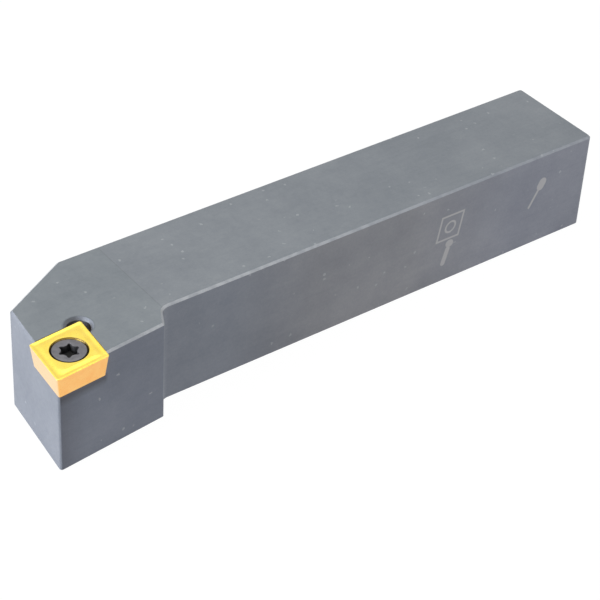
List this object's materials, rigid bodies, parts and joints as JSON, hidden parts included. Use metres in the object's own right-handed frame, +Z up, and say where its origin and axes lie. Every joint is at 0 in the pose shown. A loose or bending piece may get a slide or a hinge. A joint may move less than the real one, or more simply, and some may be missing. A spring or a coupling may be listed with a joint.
{
  "type": "turning tool holder",
  "caption": "Right-hand external turning tool holder: square shank, offset head and an 80 degree insert clamped by a countersunk screw.",
  "frame": {"origin": "middle of the base of the part's box: half the overall length from nose to back end, half way between the reference side and the nose, level with the underside", "axes": "+X along the shank from the cutting end to the clamped end; +Y towards the straight reference side, so the head and nose stand out towards -Y; +Z up, out of the face that the insert lies in"},
  "size_m": [0.1142, 0.0254, 0.0191],
  "materials": {
    "blackened_steel": "satin grey-blue blackened steel",
    "coated_carbide": "golden-yellow coated carbide, semi-gloss",
    "screw_steel": "dark grey phosphated steel"
  },
  "bodies": {
    "holder": {"holder_body": "blackened_steel"},
    "insert": {"insert": "coated_carbide"},
    "screw": {"clamp_screw": "screw_steel"}
  },
  "joints": [
    {"name": "insert_lift", "type": "slide", "parent": "holder", "child": "insert", "axis": [0, 0, 1], "range_m": [0, 0.00595]},
    {"name": "screw_turn", "type": "hinge", "parent": "insert", "child": "screw", "pos_m": [-0.05195, -0.0075, 0.01905], "axis": [0, 0, 1], "range_deg": [0, 3060]}
  ],
  "couplings": [
    {"joint": "screw_turn", "follows": "insert_lift", "rad_per_m": 8976}
  ]
}
